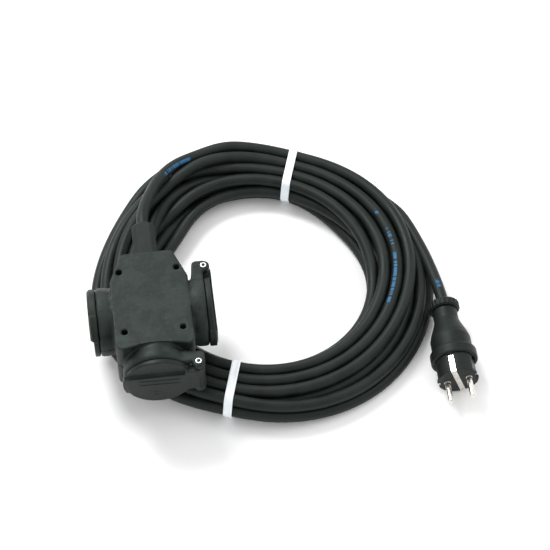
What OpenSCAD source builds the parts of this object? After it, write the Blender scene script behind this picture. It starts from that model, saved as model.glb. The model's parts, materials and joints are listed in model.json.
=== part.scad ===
// Three-way rubber extension lead: flat coupler with three lidded outlets,
// a coiled rubber cable held by two ties, and an earthed two-pin plug.
// Millimetres. Origin: centre of the coupler's flat back face, where the outlets' axes cross.
// +Y runs towards the boot, +Z out of the front plate.

/* [Coupler body] */
// Width of the body across the side faces
body_w = 66; // [64:1:70]
// Width of the body's top end, where the boot leaves
top_w = 44; // [40:1:50]
// Side outlets' axis to the top end
body_up = 48; // [47:1:52]
// Side outlets' axis to the pointed lower corners
body_down = 50; // [49:1:51]
// Thickness, back plate to front plate
body_t = 56; // [55:1:60]
// Length of each sloping top corner along the body
slope_h = 27; // [20:1:32]
// Depth of the arc that hollows the lower end
scoop = 7.5; // [5:0.5:8]
// Radius of the lower corners
low_corner_r = 6; // [4:0.5:7]
// Radius of the other corners of the outline
corner_r = 4; // [2:0.5:5]
// Screw spacing across the body
screw_dx = 48.4; // [48:0.1:50]
// Screw spacing along the body
screw_dy = 60; // [59:0.5:62]
// Diameter of the deep holes over the screws
screw_hole_d = 5.2; // [5:0.1:5.6]

/* [Outlets] */
// Axis to the front ring of a side outlet
side_face = 46; // [46:0.5:47]
// Side outlets' axis to the front ring of the end outlet
end_face = 59; // [59:0.5:60]
// Diameter of the front ring round each outlet
ring_d = 58; // [57:0.5:60]
// Diameter of the collar where it leaves the body
collar_d = 54; // [53:0.5:55]
// Diameter of the round socket recess
recess_d = 39; // [38.5:0.1:39.5]
// Depth of the recess from the socket's face
recess_depth = 17.5; // [17:0.1:18]
// Distance between the two contacts
pitch = 19; // [19:0.1:19.2]
// Bore of a contact sleeve, which grips a 4.8 mm pin
sleeve_bore_d = 4.84; // [4.82:0.01:4.88]

/* [Lids] */
// Diameter of a lid
lid_d = 57; // [56:0.5:57.5]
// Thickness of a lid's thin segment
lid_t = 4.4; // [3.8:0.1:4.6]
// Height of a lid's face over its thin segment
step_h = 2.6; // [2:0.1:3]
// Outlet axis to the step that bounds the thin segment
step_y = 10; // [9:0.5:12]
// Width of the arm between a lid and its knuckle
arm_w = 27; // [24:0.5:28]
// Width of the finger lip
lip_w = 23; // [20:0.5:26]
// Outlet axis to hinge pin
hinge_r = 34; // [34:0.1:34.5]
// Diameter of a hinge pin
pin_d = 3.2; // [3:0.1:3.4]
// How far a hinge lug's ear stands from the middle of the pin
ear_out = 20; // [19.5:0.5:21]
// How far the lip of a lid stands past its disc
lip = 1.5; // [1:0.1:2]

/* [Cable] */
// Outer diameter of the rubber cable
cable_d = 10.4; // [10:0.1:10.8]
// Mean radius of the coil
coil_r = 118; // [114:1:120]
// Width of the tied bundle
bundle_w = 52; // [50:1:54]
// Height of the tied bundle
bundle_h = 28; // [27:0.5:28.5]
// Thickness of a cable tie's strap
tie_t = 1; // [0.8:0.1:1.2]
// Width of a cable tie's strap
tie_w = 7.2; // [6:0.1:8]

/* [Boot] */
// Length of the boot outside the body
boot_l = 47; // [40:1:50]
// Width and height of the boot
boot_w = 20; // [18:0.5:22]

/* [Plug] */
// Length of a contact pin
pin_l = 19; // [18.5:0.1:19.5]
// Diameter of a contact pin
contact_d = 4.8; // [4.7:0.05:4.85]
// Diameter of the plug's flange
flange_d = 40.5; // [39:0.5:42]
// Diameter of the plug's body behind the flange
plug_d = 35; // [34:0.5:36]
// Diameter of the plug's neck
neck_d = 21.5; // [21:0.5:22.5]
// Diameter of the gland nut
nut_d = 27.4; // [26:0.2:28]
// Roll of the plug about its own axis, degrees
plug_roll = 18; // [0:1:20]

/* [Hidden] */
$fn = 64;

// Colours
rubber = [0.14, 0.15, 0.145];
plate_rubber = [0.17, 0.185, 0.18];
jacket = [0.12, 0.125, 0.12];
brass = [0.75, 0.6, 0.3];
zinc = [0.78, 0.78, 0.76];
nickel = [0.82, 0.82, 0.78];
nylon = [0.88, 0.9, 0.91];
socket_black = [0.1, 0.1, 0.1];

eps = 0.01;
mid_z = body_t / 2;
ring_r = ring_d / 2;
recess_r = recess_d / 2;
lid_r = lid_d / 2;

// Depths inside an outlet, measured back from the front ring's face
face_set = 1.7;
floor_set = face_set + recess_depth;
insert_r = 22.8;
insert_back = floor_set + 2.3;
sleeve_r = 3.5;
sleeve_end = insert_back + 17.5;
block_back = sleeve_end + 0.5;
strap_back = block_back + 1.6;
block_l = 32;
block_w = 17;

// Earth clip: a bent strip, arms in the recess and a bridge behind the contact block
clip_t = 0.8;
clip_w = 6;
clip_r = recess_r - 1.7;
clip_in = 10;

// Inner chamber of the housing
chamber_x = 20;
chamber_top = 40;
chamber_low = 19;
chamber_wall = 8;

// Hinge: the pin's centre is hinge_r from the outlet's axis and pin_u in front of the ring
pin_u = 1.4;
ear_r = 5.2;
ear_in = 14.3;
heel = [1.6, -5.2];
heel_r = 3.8;
knuckle_r = 4.9;
knuckle_half = 14;
lid_gap = 0.3;
pin_clearance = 0.05;
rivet_bore_r = 1.1;
rivet_mouth_r = 1.6;

// Outlets: where the front ring's centre is, and the turn that brings local +X to the hinge side,
// local +Y along the hinge pin and local +Z out of the outlet
RIGHT = 0;
LEFT = 1;
END = 2;
outlet_at = [[side_face, 0, mid_z], [-side_face, 0, mid_z], [0, -end_face, mid_z]];
outlet_turn = [[90, 0, 90], [0, 90, 180], [90, 0, 0]];
// The contacts lie one above the other in every outlet
pitch_turn = [0, 90, 0];
// Each lid's own turn about its outlet's axis; the left lid's hinge lies behind the body's side
lid_turn = [0, -45, 0];

// Bars inside the coupler
bar_t = 1.2;
bar_w = 6;
side_rear = side_face - sleeve_end;
end_rear = -(end_face - sleeve_end);
strap_rear = side_face - strap_back;
strap_low = -(end_face - strap_back);
tab_y = 8.8;
terminal_x = 12;
terminal_y = [10, 19];
terminal_h = 6;
// Terminals: line, neutral and earth, as [x, top of its bar]
terminals = [
  [terminal_x, mid_z + pitch / 2 + bar_t / 2],
  [-terminal_x, mid_z - pitch / 2 + bar_t / 2],
  [0, mid_z + bar_t / 2]
];

// Cable in the coupler
boot_end = body_up + boot_l;
sheath_y = 33;
core_r = 1.4;
clamp_y = [34, 39.5];

// Coil and table; the coupler rests on the coil
table_z = -30;
coil_top = -1;
coil_z = coil_top - bundle_h / 2;
coil_at = [99.5, 57];
tie_angle = [70, 250];

// Plug: its axis runs along -Y, lying on the table on its flange
plug_x = 253;
plug_face_y = -71;
plug_z = table_z + flange_d / 2;
insert_front = 17.5;
flange_back = 27.5;
shoulder_start = 40;
shoulder_end = 60;
nut_front = 70.3;
nut_back = 78;
plug_end_y = plug_face_y + nut_back;
root_d = 5.6;
plug_sheath = 46;
contact_back = 34;
strap_w = 4.5;
strap_in = 15.2;
strap_out = 16.4;

// Routes of the cable outside the coil, laid by hand
lead_route = [
  [0, boot_end, mid_z], [0, boot_end + 3.5, mid_z], [0, boot_end + 7, mid_z], [1.5, 110, 26.8],
  [4.2, 119, 24.4], [7.8, 129, 21.4], [12.5, 140, 17.6], [18.5, 151.5, 13.6], [26, 163, 9.8],
  [35, 173.5, 6], [45, 181.5, 2.8], [56, 187, 0], [68, 191, -3.5], [82, 193, -7.5], [96, 192, -11.5]
];
tail_route = [
  [214, 134, -16.5], [224, 123, -16.8], [232.1, 111.5, -16.6], [237.2, 98, -16.2], [240.7, 86, -15.8],
  [244, 74, -15.3], [247, 61, -14.8], [249.5, 46.5, -13.8], [251.2, 34, -12.3], [252.4, 23, -10.7],
  [plug_x, plug_end_y + 7, plug_z], [plug_x, plug_end_y + 3.5, plug_z], [plug_x, plug_end_y, plug_z]
];

// ---------- helpers ----------

// A point on a smooth curve through the points p, a fraction t of the way from p[i] to p[i + 1]
function spline_at(p, i, t) =
  let (a = p[max(i - 1, 0)], b = p[i], c = p[i + 1], d = p[min(i + 2, len(p) - 1)])
  0.5 * (2 * b + (c - a) * t + (2 * a - 5 * b + 4 * c - d) * t * t
    + (3 * b - a - 3 * c + d) * t * t * t);
function spline(p, n) = concat(
  [for (i = [0:len(p) - 2]) for (k = [0:n - 1]) spline_at(p, i, k / n)],
  [p[len(p) - 1]]
);
function unit(v) = v / norm(v);

// Points of an arc of radius r that rounds the corner b between the points a and c
function corner(a, b, c, r) =
  let (
    u = unit(a - b), v = unit(c - b), half = acos(u * v) / 2,
    mid = b + unit(u + v) * r / sin(half), p = b + u * r / tan(half) - mid, q = b + v * r / tan(half) - mid,
    start = atan2(p[1], p[0]), turn = (atan2(q[1], q[0]) - start + 540) % 360 - 180
  )
  [for (i = [0:4]) mid + r * [cos(start + turn * i / 4), sin(start + turn * i / 4)]];
function tangent(p, i) = unit(p[min(i + 1, len(p) - 1)] - p[max(i - 1, 0)]);

// Closed tube of radius r along the points p; up is any direction that no part of it follows
module tube(p, r, up, sides) {
  rings = len(p);
  points = [
    for (i = [0:rings - 1])
      let (t = tangent(p, i), s = unit(cross(up, t)), u = cross(t, s))
      for (k = [0:sides - 1])
        p[i] + r * (cos(360 * k / sides) * s + sin(360 * k / sides) * u)
  ];
  walls = [
    for (i = [0:rings - 2]) for (k = [0:sides - 1])
      [i * sides + k, (i + 1) * sides + k, (i + 1) * sides + (k + 1) % sides, i * sides + (k + 1) % sides]
  ];
  first = [for (k = [0:sides - 1]) k];
  last = [for (k = [0:sides - 1]) rings * sides - 1 - k];
  polyhedron(points, concat(walls, [first, last]));
}

module at_outlet(k) {
  translate(outlet_at[k])
    rotate(outlet_turn[k])
      children();
}

module at_lid(k) {
  at_outlet(k)
    rotate([0, 0, lid_turn[k]])
      children();
}

module at_plug() {
  translate([plug_x, plug_face_y, plug_z])
    rotate([90, 0, 0])
      rotate([0, 0, plug_roll])
        children();
}

module ring_of(r, bore, z0, z1) {
  translate([0, 0, z0])
    difference() {
      cylinder(r = r, h = z1 - z0);
      translate([0, 0, -1])
        cylinder(r = bore, h = z1 - z0 + 2);
    }
}

// ---------- coupler housing ----------

module plate_outline() {
  w = body_w / 2;
  scoop_r = (w * w + scoop * scoop) / (2 * scoop);
  rise = [sqrt(scoop_r * scoop_r - w * w), w];
  right = concat(
    [for (x = [0:4:20]) [x, scoop - body_down - scoop_r + sqrt(scoop_r * scoop_r - x * x)]],
    corner([w, -body_down] + [-rise[0], rise[1]], [w, -body_down], [w, 0], low_corner_r),
    corner([w, 0], [w, body_up - slope_h], [top_w / 2, body_up], corner_r),
    corner([w, body_up - slope_h], [top_w / 2, body_up], [0, body_up], corner_r)
  );
  polygon(concat(right, [for (i = [len(right) - 1:-1:1]) [-right[i][0], right[i][1]]]));
}

// Barrel-shaped collar that ends in the ring a lid closes on
module collar() {
  rotate_extrude()
    polygon([
      [0, -18], [collar_d / 2, -18], [collar_d / 2 + 0.9, -12], [ring_r - 0.3, -8], [ring_r, -5],
      [ring_r - 0.1, -2], [ring_r - 1, 0], [0, 0]
    ]);
}

// Two ears beside the lid's knuckle that carry the hinge pin
module hinge_ears() {
  for (s = [-1, 1])
    translate([0, s * (ear_out + ear_in) / 2, 0])
      rotate([90, 0, 0])
        linear_extrude(ear_out - ear_in, center = true) {
          translate([hinge_r, pin_u])
            circle(r = ear_r);
          translate([hinge_r + heel[0], heel[1]])
            circle(r = heel_r);
          polygon([
            [20, heel[1] - heel_r - 2], [hinge_r - 5, heel[1] - heel_r - 0.6],
            [hinge_r + heel[0], heel[1] - heel_r], [hinge_r + heel[0] + heel_r, heel[1]],
            [hinge_r + ear_r, pin_u], [hinge_r, pin_u + ear_r], [28, 0], [20, 0]
          ]);
        }
}

module outlet_void() {
  translate([0, 0, -insert_back])
    cylinder(r = insert_r, h = insert_back + 1);
}

module hinge_bore() {
  translate([hinge_r, 0, pin_u])
    rotate([90, 0, 0])
      cylinder(d = pin_d, h = 2 * ear_out + 4, center = true);
}

// Room behind a socket insert for its contact block and earth clip
module block_void(k) {
  rotate([0, 0, pitch_turn[k]])
    translate([-19, -block_l / 2 - 0.5, -strap_back])
      cube([38, block_l + 1, strap_back - insert_back + eps]);
}

module housing_solid() {
  difference() {
    union() {
      linear_extrude(body_t)
        plate_outline();
      for (k = [RIGHT, LEFT, END]) {
        at_outlet(k)
          collar();
        at_lid(k)
          hinge_ears();
      }
    }
    for (k = [RIGHT, LEFT, END]) {
      at_outlet(k) {
        outlet_void();
        block_void(k);
      }
      at_lid(k)
        hinge_bore();
    }
    translate([-chamber_x, -chamber_low, chamber_wall])
      cube([2 * chamber_x, chamber_low + chamber_top, body_t - 2 * chamber_wall]);
    translate([0, chamber_top - 1, mid_z])
      rotate([-90, 0, 0])
        cylinder(r = 9, h = 20);
    translate([0, 42, mid_z])
      rotate([-90, 0, 0])
        cylinder(r = 12, h = 3);
  }
}

module screw_places() {
  for (x = [-1, 1])
    for (y = [-1, 1])
      translate([x * screw_dx / 2, y * screw_dy / 2, 0])
        children();
}

module housing_front() {
  color(plate_rubber)
    difference() {
      intersection() {
        housing_solid();
        translate([-100, -100, mid_z])
          cube([200, 200, 60]);
      }
      screw_places() {
        translate([0, 0, 36])
          cylinder(d = screw_hole_d, h = 40);
        translate([0, 0, 20])
          cylinder(r = 1.5, h = 40);
      }
    }
}

module housing_back() {
  color(plate_rubber) {
    difference() {
      intersection() {
        housing_solid();
        translate([-100, -100, mid_z - 60])
          cube([200, 200, 60]);
      }
      screw_places()
        translate([0, 0, 10])
          cylinder(r = 1.5, h = 40);
    }
    // Saddle under the cord, between the clamp's two screws
    difference() {
      translate([-12, clamp_y[0], chamber_wall - 1])
        cube([24, clamp_y[1] - clamp_y[0], mid_z - chamber_wall]);
      translate([0, 30, mid_z])
        rotate([-90, 0, 0])
          cylinder(d = cable_d, h = 20);
      for (s = [-1, 1])
        translate([s * 8.5, (clamp_y[0] + clamp_y[1]) / 2, 14])
          cylinder(r = 1.2, h = 20);
    }
  }
}

module housing_screws() {
  color(zinc)
    screw_places() {
      translate([0, 0, 10])
        cylinder(r = 1.5, h = 26 + eps);
      difference() {
        translate([0, 0, 36])
          cylinder(d = screw_hole_d - 0.4, h = 2.2);
        translate([-0.4, -1.8, 37.2])
          cube([0.8, 3.6, 2]);
        translate([-1.8, -0.4, 37.2])
          cube([3.6, 0.8, 2]);
      }
    }
}

// ---------- cable entry ----------

module boot_outline(w) {
  bevel = 4;
  h = w / 2;
  polygon([
    [-h, -h + bevel], [-h + bevel, -h], [h - bevel, -h], [h, -h + bevel],
    [h, h - bevel], [h - bevel, h], [-h + bevel, h], [-h, h - bevel]
  ]);
}

module cable_boot() {
  color(rubber)
    translate([0, 0, mid_z])
      rotate([-90, 0, 0])
        difference() {
          union() {
            intersection() {
              translate([0, 0, body_up])
                linear_extrude(boot_l)
                  boot_outline(boot_w);
              rotate_extrude()
                polygon([
                  [0, body_up], [14, body_up], [13.2, boot_end - 8], [11.4, boot_end - 4],
                  [9, boot_end - 1.4], [7, boot_end], [0, boot_end]
                ]);
            }
            translate([0, 0, chamber_top])
              cylinder(r = 9, h = body_up - chamber_top + eps);
            translate([0, 0, 42])
              cylinder(r = 12, h = 3);
          }
          translate([0, 0, 30])
            cylinder(d = cable_d, h = 80);
        }
}

module coupler_cable() {
  color(jacket)
    translate([0, sheath_y, mid_z])
      rotate([-90, 0, 0])
        cylinder(d = cable_d, h = boot_end - sheath_y);
}

module cord_clamp() {
  color(zinc)
    difference() {
      union() {
        translate([-12, clamp_y[0], mid_z + 0.4])
          cube([24, clamp_y[1] - clamp_y[0], 3]);
        translate([0, clamp_y[0], mid_z])
          rotate([-90, 0, 0])
            intersection() {
              cylinder(d = cable_d + 4, h = clamp_y[1] - clamp_y[0]);
              translate([-10, -20, 0])
                cube([20, 19.6, 20]);
            }
      }
      translate([0, 30, mid_z])
        rotate([-90, 0, 0])
          cylinder(d = cable_d, h = 20);
      for (s = [-1, 1])
        translate([s * 8.5, (clamp_y[0] + clamp_y[1]) / 2, 20])
          cylinder(r = 1.2, h = 20);
    }
}

module clamp_screws() {
  color(zinc)
    for (s = [-1, 1])
      translate([s * 8.5, (clamp_y[0] + clamp_y[1]) / 2, 0]) {
        translate([0, 0, 15])
          cylinder(r = 1.2, h = mid_z + 3.4 - 15 + eps);
        difference() {
          translate([0, 0, mid_z + 3.4])
            cylinder(r = 2.2, h = 1.6);
          translate([-3, -0.3, mid_z + 4.3])
            cube([6, 0.6, 2]);
        }
      }
}

// ---------- sockets and contacts ----------

module socket_insert(k) {
  color(socket_black)
    at_outlet(k)
      rotate([0, 0, pitch_turn[k]]) {
        difference() {
          union() {
            translate([0, 0, -insert_back])
              cylinder(r = insert_r, h = insert_back - face_set);
            translate([-block_w / 2, -block_l / 2, -block_back])
              cube([block_w, block_l, block_back - insert_back + eps]);
          }
          translate([0, 0, -floor_set])
            cylinder(r = recess_r, h = floor_set + 1);
          for (s = [-1, 1]) {
            translate([0, s * pitch / 2, -insert_back - 1])
              cylinder(r = 2.75, h = 10);
            translate([0, s * pitch / 2, -block_back - 1])
              cylinder(r = sleeve_r, h = block_back + 1 - insert_back);
            translate([s * (clip_r - clip_t / 2) - 0.7, -clip_w / 2 - 0.2, -insert_back - 1])
              cube([1.4, clip_w + 0.4, 6]);
          }
        }
        // Guide ribs on the recess wall, in line with the contacts
        for (s = [-1, 1])
          translate([-2.4, s * (recess_r - 0.9) - 1.2, -floor_set - eps])
            cube([4.8, 2.4, recess_depth - 1]);
      }
}

module contact_sleeves() {
  color(brass)
    for (k = [RIGHT, LEFT, END])
      at_outlet(k)
        rotate([0, 0, pitch_turn[k]])
          for (s = [-1, 1])
            translate([0, s * pitch / 2, -sleeve_end])
              difference() {
                cylinder(r = sleeve_r, h = sleeve_end - insert_back);
                translate([0, 0, 0.5])
                  cylinder(d = sleeve_bore_d, h = 30);
              }
}

// A bar that joins three sleeves and ends in a tab under a terminal; side is 1 or -1
module live_bar(side) {
  z = mid_z + side * pitch / 2 - bar_t / 2;
  tab_x = side * terminal_x;
  color(brass) {
    translate([-side_rear, -bar_w / 2, z])
      cube([2 * side_rear, bar_w, bar_t]);
    translate([-bar_w / 2, end_rear, z])
      cube([bar_w, tab_y + bar_w - end_rear, bar_t]);
    translate([min(0, tab_x), tab_y, z])
      cube([abs(tab_x), bar_w, bar_t]);
    translate([tab_x - bar_w / 2, tab_y, z])
      cube([bar_w, terminal_y[1] - tab_y, bar_t]);
  }
}

module line_bar() {
  live_bar(1);
}

module neutral_bar() {
  live_bar(-1);
}

module earth_bar() {
  color(brass)
    translate([-strap_rear, strap_low, mid_z - bar_t / 2])
      cube([2 * strap_rear, terminal_y[1] - strap_low, bar_t]);
}

module earth_clip(k) {
  x0 = clip_r - clip_t;
  color(brass)
    at_outlet(k)
      rotate([0, 0, pitch_turn[k]])
        rotate([90, 0, 0])
          linear_extrude(clip_w, center = true) {
            for (s = [0, 1])
              mirror([s, 0])
                polygon([
                  [x0, -insert_back - 0.5], [x0, -15], [x0 - 1.6, -10.5], [x0 - 0.4, -5],
                  [x0 + 0.4, -5], [x0 - 0.8, -10.5], [clip_r, -15.2],
                  [clip_r, -insert_back - 0.5 - clip_t], [clip_in, -insert_back - 0.5 - clip_t],
                  [clip_in, -strap_back], [clip_in - clip_t, -strap_back],
                  [clip_in - clip_t, -insert_back - 0.5]
                ]);
            translate([-clip_in, -strap_back])
              square([2 * clip_in, clip_t]);
          }
}

module terminal_blocks() {
  color(brass)
    for (t = terminals)
      difference() {
        translate([t[0] - 4, terminal_y[0], t[1]])
          cube([8, terminal_y[1] - terminal_y[0], terminal_h]);
        translate([t[0], (terminal_y[0] + terminal_y[1]) / 2, t[1] + 3])
          cylinder(r = 1.5, h = 10);
      }
}

module terminal_screws() {
  color(zinc)
    for (t = terminals)
      translate([t[0], (terminal_y[0] + terminal_y[1]) / 2, t[1]]) {
        translate([0, 0, 3])
          cylinder(r = 1.5, h = terminal_h - 3 + eps);
        difference() {
          translate([0, 0, terminal_h])
            cylinder(r = 2.6, h = 2);
          translate([-3, -0.35, terminal_h + 1])
            cube([6, 0.7, 3]);
        }
      }
}

// A core from the end of the jacket, at [x, z] = start, to the terminal t
module coupler_core(start, t) {
  bore_z = t[1] + terminal_h / 2;
  tube([
    [start[0], sheath_y, start[1]], [start[0], sheath_y - 2.5, start[1]],
    [t[0], terminal_y[1] + 2.5, bore_z], [t[0], terminal_y[1], bore_z]
  ], core_r, [0.3, 0.2, 1], 12);
}

module core_brown() {
  color([0.4, 0.2, 0.1])
    coupler_core([1.6, mid_z + 1], terminals[0]);
}

module core_blue() {
  color([0.1, 0.3, 0.7])
    coupler_core([-1.6, mid_z + 1], terminals[1]);
}

module core_earth() {
  color([0.5, 0.7, 0.1])
    coupler_core([0, mid_z - 1.9], terminals[2]);
}

// ---------- lids and hinges ----------

module lid(k) {
  thin = lid_gap + lid_t;
  face = thin + step_h;
  color(rubber)
    at_lid(k)
      difference() {
        union() {
          rotate_extrude()
            polygon([
              [0, lid_gap], [lid_r - 0.4, lid_gap], [lid_r, lid_gap + 0.8], [lid_r, face - 2],
              [lid_r - 1.8, face], [0, face]
            ]);
          // Finger lip
          intersection() {
            cylinder(r = lid_r + lip, h = face - 1);
            translate([-lid_r - 5, -lip_w / 2, lid_gap])
              cube([20, lip_w, face]);
          }
          // Arm and knuckle
          translate([15, -arm_w / 2, lid_gap])
            cube([hinge_r - 15, arm_w, face - lid_gap]);
          translate([hinge_r, 0, pin_u])
            rotate([90, 0, 0])
              cylinder(r = knuckle_r, h = 2 * knuckle_half, center = true);
        }
        // Thin segment beyond the step
        translate([-40, step_y, thin])
          cube([62, 40, 10]);
        translate([hinge_r, 0, pin_u])
          rotate([90, 0, 0]) {
            cylinder(r = pin_d / 2 + pin_clearance, h = 60, center = true);
            // Room for the spring, open towards the housing
            cylinder(r = 4.2, h = 10, center = true);
          }
        translate([hinge_r - 8, -5, pin_u - 8])
          cube([16, 10, 8]);
        // Recess inside the lid, clear of the earth clips
        cylinder(r = 17, h = 2.3);
      }
}

module seal(k) {
  color([0.08, 0.08, 0.08])
    at_lid(k)
      ring_of(21.5, 18.5, -1.4, lid_gap);
}

module hinge_pin(k) {
  color(zinc)
    at_lid(k)
      translate([hinge_r, 0, pin_u])
        rotate([90, 0, 0]) {
          difference() {
            union() {
              cylinder(d = pin_d, h = 2 * ear_out + 2 * eps, center = true);
              for (s = [0, 1])
                mirror([0, 0, s])
                  translate([0, 0, ear_out])
                    cylinder(r = 2.5, h = 0.8);
            }
            for (s = [0, 1])
              mirror([0, 0, s]) {
                translate([0, 0, ear_out - 4])
                  cylinder(r = rivet_bore_r, h = 8);
                translate([0, 0, ear_out - 0.2])
                  cylinder(r1 = rivet_bore_r, r2 = rivet_mouth_r, h = 1 + eps);
              }
          }
        }
}

// The turns of a torsion spring round the pin
module hinge_spring(k) {
  turns = 5;
  steps = 10;
  wire_r = 0.4;
  coil = 3;
  half = 3.4;
  helix = [
    for (i = [0:turns * steps])
      let (a = 180 + 360 * i / steps)
      [hinge_r + coil * cos(a), -half + 2 * half * i / (turns * steps), pin_u + coil * sin(a)]
  ];
  color(zinc)
    at_lid(k)
      tube(helix, wire_r, [0, 1, 0], 6);
}

// ---------- cord ----------

module cord_lead() {
  color(jacket)
    tube(spline(lead_route, 3), cable_d / 2, [0, 0, 1], 12);
}

module cord_tail() {
  color(jacket)
    tube(spline(tail_route, 3), cable_d / 2, [0, 0, 1], 12);
}

// Outline of the tied bundle across the coil, centred on it and grown by g all round
module bundle_outline(g) {
  w = bundle_w / 2 + g;
  h = bundle_h / 2 + g;
  c = 9;
  polygon([
    [-w, -h + c], [-w + c * 0.7, -h], [w - c * 0.7, -h], [w, -h + c],
    [w, h - c], [w - c * 0.7, h], [-w + c * 0.7, h], [-w, h - c]
  ]);
}

module cord_coil() {
  color(jacket)
    translate([coil_at[0], coil_at[1], coil_z])
      rotate_extrude($fn = 128)
        translate([coil_r, 0])
          bundle_outline(0);
}

module cable_tie(angle, head_side) {
  color(nylon)
    translate([coil_at[0], coil_at[1], coil_z])
      rotate([0, 0, angle])
        translate([coil_r, 0, 0]) {
          rotate([90, 0, 0])
            linear_extrude(tie_w, center = true)
              difference() {
                bundle_outline(tie_t + 0.2);
                bundle_outline(0.2);
              }
          // Locking head
          translate([head_side * (bundle_w / 2 + tie_t + 0.2), 0, -3])
            difference() {
              translate([-0.3 - (1 - head_side) * 2.1, -4.5, -4.5])
                cube([4.8, 9, 9]);
              translate([-8, -3, 0.6])
                cube([16, 6, 1.6]);
            }
        }
}

// ---------- plug ----------

module plug_body() {
  color(rubber)
    at_plug()
      difference() {
        rotate_extrude()
          polygon([
            [0, -insert_front], [flange_d / 2 - 1, -insert_front], [flange_d / 2, -insert_front - 1],
            [flange_d / 2, -flange_back + 1], [flange_d / 2 - 1, -flange_back],
            [plug_d / 2, -flange_back - 0.6], [plug_d / 2, -shoulder_start],
            [plug_d / 2 - 1.6, -shoulder_start - 5.5],
            [neck_d / 2 + 1.2, -shoulder_end + 4.5], [neck_d / 2, -shoulder_end],
            [neck_d / 2, -nut_front], [9.5, -nut_front], [9.5, -nut_back + 4], [0, -nut_back + 4]
          ]);
        rotate_extrude()
          polygon([
            [0, -insert_front + 1], [16.7, -insert_front + 1], [16.7, -25], [15.1, -25], [15.1, -42],
            [12, -42], [12, -47], [9.5, -57], [0, -57]
          ]);
        translate([0, 0, -nut_back])
          cylinder(d = cable_d, h = 40);
      }
}

module plug_insert() {
  color(socket_black)
    at_plug() {
      difference() {
        union() {
          intersection() {
            translate([0, 0, -insert_front])
              cylinder(r = 18, h = insert_front);
            translate([-15.5, -20, -insert_front - 1])
              cube([31, 40, insert_front + 2]);
          }
          // Guide ears beside the groove that the socket's rib enters
          intersection() {
            translate([0, 0, -2.6])
              cylinder(r = 17.8, h = 2.6);
            for (s = [-1, 1])
              translate([-20, s * 5.6 - 2.6, -3])
                cube([40, 5.2, 4]);
          }
          translate([0, 0, -22])
            cylinder(r = 16.6, h = 22 - insert_front + eps);
          ring_of(15, 13, -42, -22 + eps);
          // Tongue that carries the cord clamp, in two legs beside the earth core
          for (s = [-1, 1])
            translate([s * 5.6 - 3.4, -13.6, -42])
              cube([6.8, 7, 2.5]);
          intersection() {
            ring_of(9, cable_d / 2, -56, -40);
            translate([-20, -20, -60])
              cube([40, 19.8, 60]);
          }
        }
        for (s = [-1, 1]) {
          translate([s * pitch / 2, 0, -50])
            cylinder(d = root_d, h = 60);
          translate([s * 7.2, -6, -52])
            rotate([-90, 0, 0])
              cylinder(r = 1, h = 20);
        }
        // Channel of the earth strap: both sides and the face
        for (s = [0, 1])
          mirror([0, s])
            translate([-strap_w / 2, strap_in, -24.5])
              cube([strap_w, 5, 40]);
        translate([-strap_w / 2, -20, -1.2])
          cube([strap_w, 40, 5]);
        translate([-strap_w / 2, -18, -26])
          cube([strap_w, 10, 4]);
        // Groove for the socket's guide rib
        for (s = [0, 1])
          mirror([s, 0])
            translate([15.4, -2.7, -30])
              cube([5, 5.4, 40]);
      }
    }
}

module contact_pin(s) {
  color(nickel)
    at_plug()
      translate([s * pitch / 2, 0, 0])
        difference() {
          union() {
            rotate_extrude()
              polygon([
                [0, -22], [root_d / 2, -22], [root_d / 2, 0], [contact_d / 2, 0],
                [contact_d / 2, pin_l - 1.2], [contact_d / 2 - 1, pin_l], [0, pin_l]
              ]);
            translate([0, 0, -contact_back])
              cylinder(r = 3.2, h = 12);
          }
          translate([0, 0.6, -29])
            rotate([-90, 0, 0])
              cylinder(r = 1.3, h = 10);
        }
}

module plug_pin_line() {
  contact_pin(1);
}

module plug_pin_neutral() {
  contact_pin(-1);
}

module plug_earth_strap() {
  color(nickel)
    at_plug()
      translate([-strap_w / 2, 0, 0])
        difference() {
          union() {
            for (s = [0, 1])
              mirror([0, s])
                translate([0, strap_in, -23.2])
                  cube([strap_w, strap_out - strap_in, 23.2]);
            translate([0, -strap_out, -1.2])
              cube([strap_w, 2 * strap_out, 1.2]);
            translate([0, -strap_out, -24.4])
              cube([strap_w, strap_out - 8, 1.2 + eps]);
            translate([0, -9.2, -33])
              cube([strap_w, 1.2, 9]);
          }
          translate([strap_w / 2, -15, -29])
            rotate([-90, 0, 0])
              cylinder(r = 1.3, h = 10);
        }
}

module plug_terminal_screws() {
  color(zinc)
    at_plug() {
      for (s = [-1, 1])
        translate([s * pitch / 2, 0.6, -29])
          rotate([-90, 0, 0]) {
            cylinder(r = 1.3, h = 4);
            translate([0, 0, 3.2])
              cylinder(r = 2.3, h = 1.6);
          }
      translate([0, -9.2, -29])
        rotate([-90, 0, 0]) {
          cylinder(r = 1.3, h = 2);
          translate([0, 0, 1.2])
            cylinder(r = 2.1, h = 1.5);
        }
    }
}

// A core from the end of the jacket to the back of a contact; up is any direction it doesn't follow
module plug_core(route, up) {
  at_plug()
    tube(route, core_r, up, 12);
}

module plug_core_brown() {
  color([0.4, 0.2, 0.1])
    plug_core([[1.8, 1.8, -plug_sheath], [pitch / 2, 1.4, -contact_back]], [0, 1, 0]);
}

module plug_core_blue() {
  color([0.1, 0.3, 0.7])
    plug_core([[-1.8, 1.8, -plug_sheath], [-pitch / 2, 1.4, -contact_back]], [0, 1, 0]);
}

module plug_core_earth() {
  color([0.5, 0.7, 0.1])
    plug_core([[0, -1.9, -plug_sheath], [0, -3.2, -40], [0, -6.6, 1 - contact_back]], [1, 0, 0]);
}

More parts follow.
